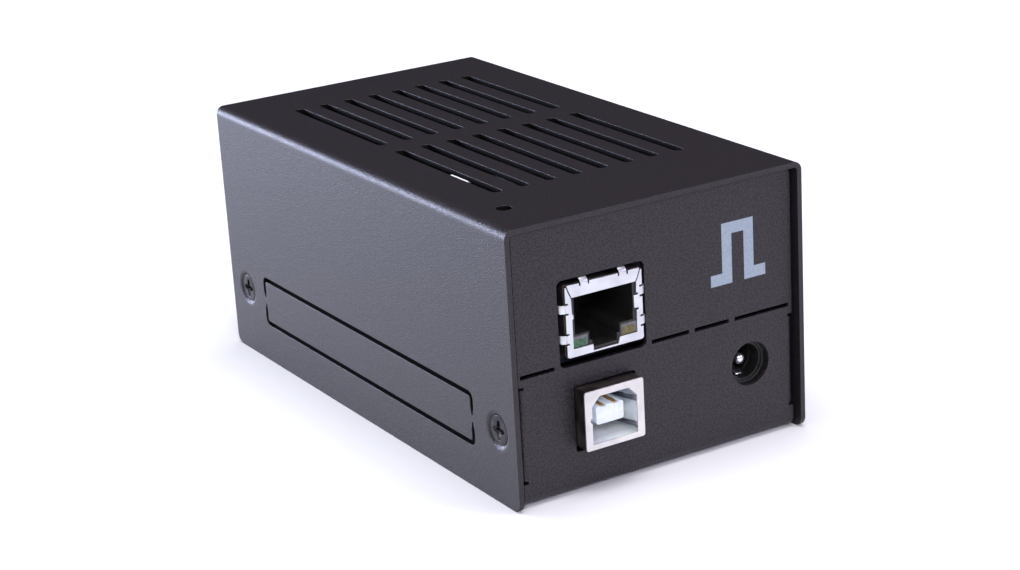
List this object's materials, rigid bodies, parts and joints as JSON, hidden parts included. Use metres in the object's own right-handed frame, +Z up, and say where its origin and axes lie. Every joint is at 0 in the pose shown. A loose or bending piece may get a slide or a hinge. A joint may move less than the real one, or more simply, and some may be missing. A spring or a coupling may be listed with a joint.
{
  "type": "logic analyzer",
  "caption": "Compact bench instrument in a black folded-steel case: vented cover over a tray, with network jack, square data socket and round power jack in front, boards stacked inside.",
  "frame": {"origin": "middle of the overall length and width, at the surface the case stands on", "axes": "+Z up, front wall with the sockets faces -Y, +X to the right when seen from the front"},
  "size_m": [0.061, 0.1118, 0.05],
  "materials": {
    "case_paint": "fine-textured black powder coat",
    "black_screw": "black oxide",
    "bright_screw": "zinc plate",
    "brass": "turned",
    "gold_plate": "gold flash, polished",
    "tin_plate": "bright tin plate",
    "circuit_board": "black solder mask",
    "black_plastic": "moulded",
    "ivory_plastic": "moulded",
    "chip_plastic": "moulded epoxy",
    "metal_can": "drawn can",
    "green_lens": "tinted",
    "amber_lens": "tinted",
    "lamp_lens": "clear"
  },
  "bodies": {
    "case": {"cover": "case_paint", "tray": "case_paint", "cover_screws": "black_screw", "standoffs": "brass", "board_screws": "bright_screw", "main_board": "circuit_board", "usb_shell": "tin_plate", "usb_insulator": "ivory_plastic", "usb_contacts": "gold_plate", "power_jack_body": "black_plastic", "power_jack_pin": "tin_plate", "power_jack_spring": "tin_plate", "stacking_sockets": "black_plastic", "stacking_pins": "gold_plate", "microcontroller_socket": "black_plastic", "microcontroller": "chip_plastic", "usb_bridge_chip": "chip_plastic", "main_crystal": "metal_can", "smoothing_capacitors": "metal_can", "voltage_regulator": "chip_plastic", "programming_header": "black_plastic", "programming_pins": "gold_plate", "status_lamps": "lamp_lens", "main_reset_base": "black_plastic", "main_reset_cover": "tin_plate", "network_board": "circuit_board", "lan_shell": "tin_plate", "lan_housing": "black_plastic", "lan_contacts": "gold_plate", "lan_lamp_green": "green_lens", "lan_lamp_yellow": "amber_lens", "network_chip": "chip_plastic", "network_crystal": "metal_can", "sample_memory": "chip_plastic", "input_buffers": "chip_plastic", "probe_sockets": "black_plastic", "reset_base": "black_plastic", "reset_cover": "tin_plate"},
    "main_button": {"main_reset_plunger": "black_plastic"},
    "network_button": {"reset_plunger": "black_plastic"}
  },
  "joints": [
    {"name": "network_reset_press", "type": "slide", "parent": "case", "child": "network_button", "axis": [0, 0, -1], "range_m": [0, 0.00025], "stiffness_N_per_m": 6000},
    {"name": "main_reset_press", "type": "slide", "parent": "case", "child": "main_button", "axis": [0, 0, -1], "range_m": [0, 0.00025], "stiffness_N_per_m": 6000}
  ]
}
